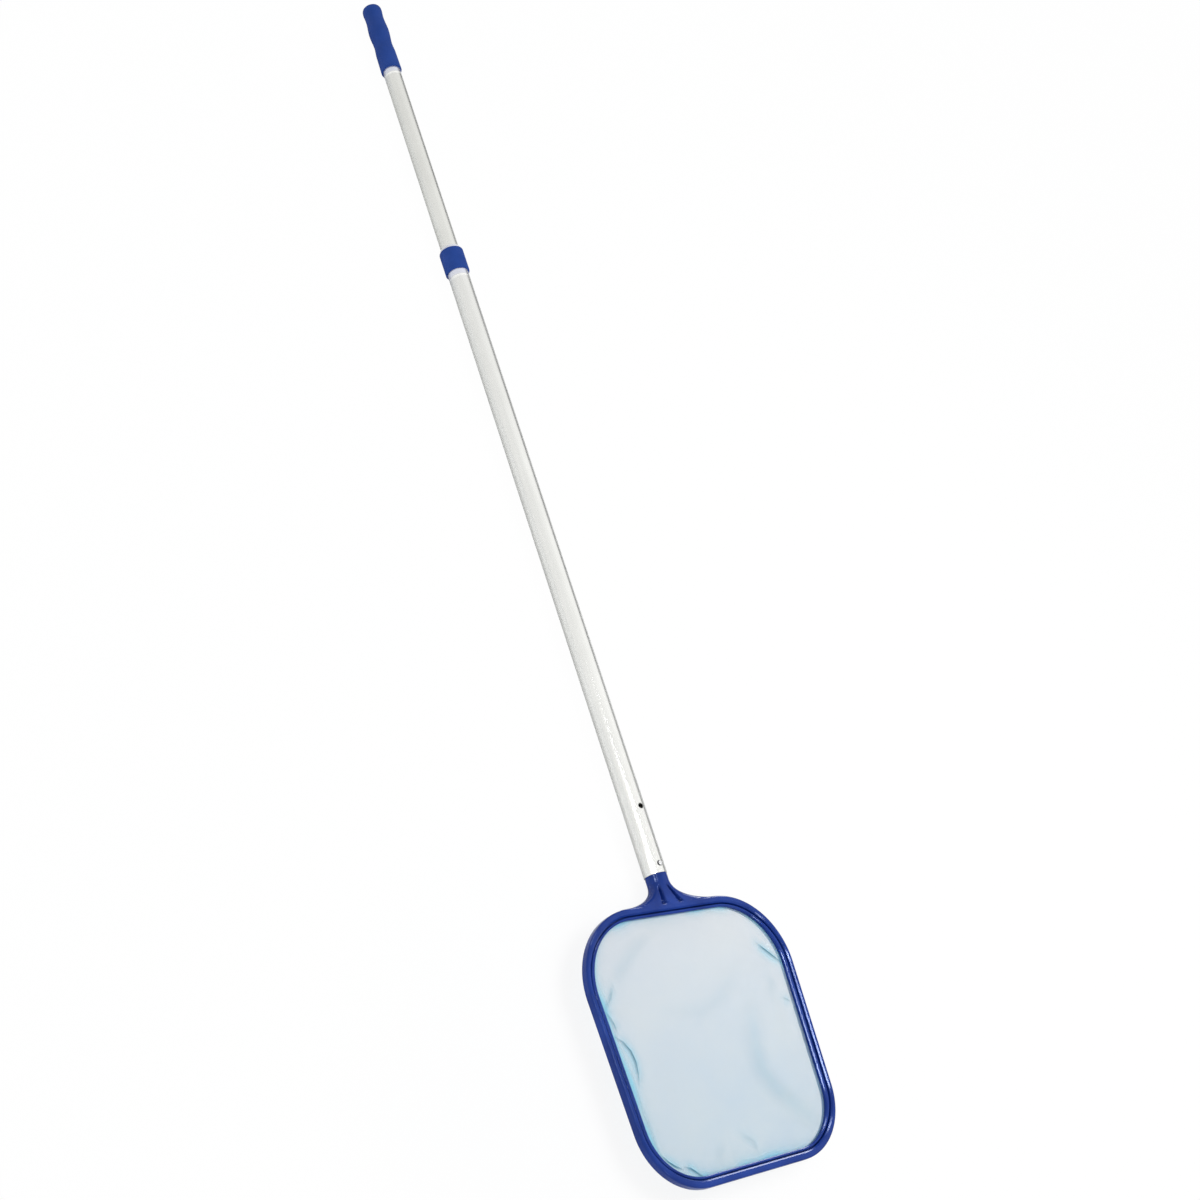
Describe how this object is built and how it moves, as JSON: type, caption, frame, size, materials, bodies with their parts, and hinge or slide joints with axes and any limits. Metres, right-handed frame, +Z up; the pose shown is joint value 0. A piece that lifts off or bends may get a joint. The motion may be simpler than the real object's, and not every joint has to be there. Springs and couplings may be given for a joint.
{
  "type": "leaf skimmer net",
  "caption": "Flat pool leaf skimmer: fine net clamped in a moulded frame with a flared neck, on a two-tube telescopic pole with twist lock and grip.",
  "frame": {"origin": "on the floor under the middle of the part's box, the net's face up and the pole at its rest length", "axes": "+Y along the pole from the head to the grip, +X across the head, +Z up, square to the net"},
  "size_m": [0.2864, 1.5708, 0.0308],
  "materials": {
    "frame_blue": "glossy royal blue moulding",
    "grip_blue": "matt royal blue moulding",
    "net": "fine pale blue translucent netting",
    "tube": "satin anodised",
    "white_plastic": "plain white moulding",
    "steel": "bright spring steel"
  },
  "bodies": {
    "outer_pole": {"head_frame": "frame_blue", "retaining_ring": "frame_blue", "net": "net", "outer_tube": "tube", "collar": "grip_blue", "spring_clip": "steel"},
    "guide": {"guide_bush": "white_plastic"},
    "inner_pole": {"inner_tube": "tube", "grip": "grip_blue", "lock_plug": "white_plastic", "cam_washer": "steel", "cam_screw": "steel"},
    "cam": {"lock_cam": "white_plastic"},
    "front_catch": {"front_button": "steel"},
    "rear_catch": {"rear_button": "steel"}
  },
  "joints": [
    {"name": "pole_twist", "type": "hinge", "parent": "outer_pole", "child": "guide", "pos_m": [0, 0.3, 0.0154], "axis": [0, 1, 0], "continuous": true},
    {"name": "pole_slide", "type": "slide", "parent": "guide", "child": "inner_pole", "axis": [0, 1, 0], "range_m": [-0.294, 0.23]},
    {"name": "cam_turn", "type": "hinge", "parent": "inner_pole", "child": "cam", "pos_m": [0.0007, -0.02, 0.0154], "axis": [0, 1, 0], "range_deg": [-35, 35]},
    {"name": "front_button_press", "type": "slide", "parent": "outer_pole", "child": "front_catch", "axis": [0, 0, -1], "range_m": [0, 0.0036], "stiffness_N_per_m": 800, "deforming": ["spring_clip"]},
    {"name": "rear_button_press", "type": "slide", "parent": "outer_pole", "child": "rear_catch", "axis": [0, 0, 1], "range_m": [0, 0.0036], "stiffness_N_per_m": 800, "deforming": ["spring_clip"]}
  ]
}
